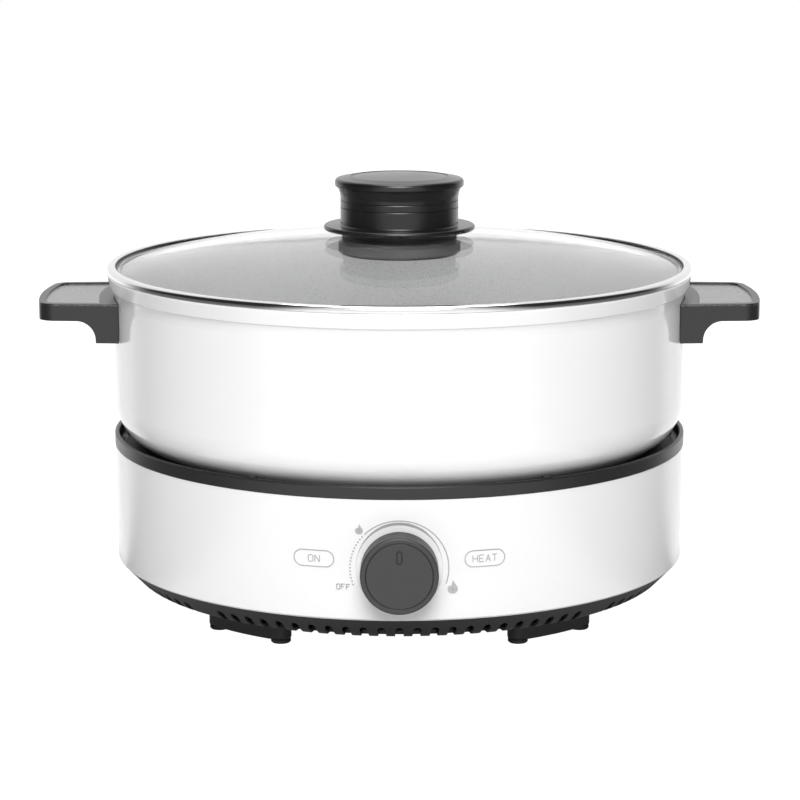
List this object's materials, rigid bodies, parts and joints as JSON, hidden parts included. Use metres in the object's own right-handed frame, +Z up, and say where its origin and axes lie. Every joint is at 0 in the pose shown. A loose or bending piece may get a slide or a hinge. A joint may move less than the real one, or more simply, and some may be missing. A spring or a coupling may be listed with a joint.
{
  "type": "electric hot pot with lid",
  "caption": "Round electric hot pot: white heating base with a front dial, lift-off pot with two side handles, and a glass lid with a steel ring and centre knob.",
  "frame": {"origin": "on the surface it stands on, on the pot's own axis", "axes": "+X to the right handle, -Y to the dial at the front, +Z up"},
  "size_m": [0.369, 0.3131, 0.2171],
  "materials": {
    "white_shell": "smooth satin white",
    "frame_plastic": "fine stipple on the deck",
    "cover_plastic": "fine moulded texture",
    "foot_rubber": "soft matte",
    "plated_screw": "zinc plated",
    "cast_plate": "machined top, cast underside",
    "element_tube": "dull, heat tinted",
    "sheet_steel": "pressed sheet",
    "spring_steel": "bright wire",
    "fuse_metal": "drawn can",
    "inner_plastic": "moulded grey",
    "board": "lacquered board",
    "lamp": "small lamp",
    "light_window": "milky window",
    "inlet_plastic": "plain black",
    "pin_metal": "plated pin",
    "lead_cover": "silicone cover",
    "earth_cover": "silicone cover",
    "dial_plastic": "satin dark grey",
    "shaft_metal": "turned",
    "pot_coat": "gloss white outside, dark non-stick inside",
    "handle_plastic": "satin with a stippled panel",
    "dome_glass": "clear",
    "seal_silicone": "soft",
    "ring_steel": "polished",
    "knob_plastic": "satin dark grey",
    "insert_brass": "knurled"
  },
  "bodies": {
    "base": {"outer_shell": "white_shell", "top_frame": "frame_plastic", "bottom_cover": "cover_plastic", "foot_rails": "cover_plastic", "rail_screws": "plated_screw", "rubber_feet": "foot_rubber", "cover_screws": "plated_screw", "heating_plate": "cast_plate", "heating_element": "element_tube", "heat_shield": "sheet_steel", "shield_screws": "plated_screw", "plate_spacers": "sheet_steel", "plate_screws": "plated_screw", "sensor_housing": "sheet_steel", "sensor_spring": "spring_steel", "thermal_fuse": "fuse_metal", "fuse_clip": "sheet_steel", "power_regulator": "inner_plastic", "regulator_nut": "plated_screw", "control_bracket": "sheet_steel", "bracket_screws": "plated_screw", "power_light_window": "light_window", "heating_light_window": "light_window", "lamp_boards": "board", "indicator_lamps": "lamp", "supply_inlet": "inlet_plastic", "inlet_pins": "pin_metal", "inlet_screws": "plated_screw", "live_lead": "lead_cover", "neutral_lead": "lead_cover", "load_lead": "lead_cover", "earth_lead": "earth_cover"},
    "dial": {"dial_knob": "dial_plastic", "dial_shaft": "shaft_metal"},
    "sensor": {"sensor_cap": "cast_plate", "sensor_bead": "lamp"},
    "pot": {"pot_body": "pot_coat", "handle_left": "handle_plastic", "handle_right": "handle_plastic", "handle_screws": "plated_screw"},
    "lid": {"glass_dome": "dome_glass", "edge_seal": "seal_silicone", "lid_ring": "ring_steel", "knob_body": "knob_plastic", "knob_cap": "knob_plastic", "upper_washer": "seal_silicone", "inner_boss": "knob_plastic", "lower_seal_ring": "seal_silicone", "knob_insert": "insert_brass", "knob_screw": "plated_screw"}
  },
  "joints": [
    {"name": "pot_lift", "type": "slide", "parent": "base", "child": "pot", "axis": [0, 0, 1], "range_m": [0, 0.12]},
    {"name": "lid_lift", "type": "slide", "parent": "pot", "child": "lid", "axis": [0, 0, 1], "range_m": [0, 0.12]},
    {"name": "dial_turn", "type": "hinge", "parent": "base", "child": "dial", "pos_m": [0, -0.15, 0.0475], "axis": [0, 1, 0], "range_deg": [-110, 110]},
    {"name": "sensor_rise", "type": "slide", "parent": "base", "child": "sensor", "axis": [0, 0, 1], "range_m": [0, 0.0024], "deforming": ["sensor_spring"]}
  ],
  "couplings": [
    {"joint": "sensor_rise", "follows": "pot_lift", "ratio": 0.02}
  ]
}
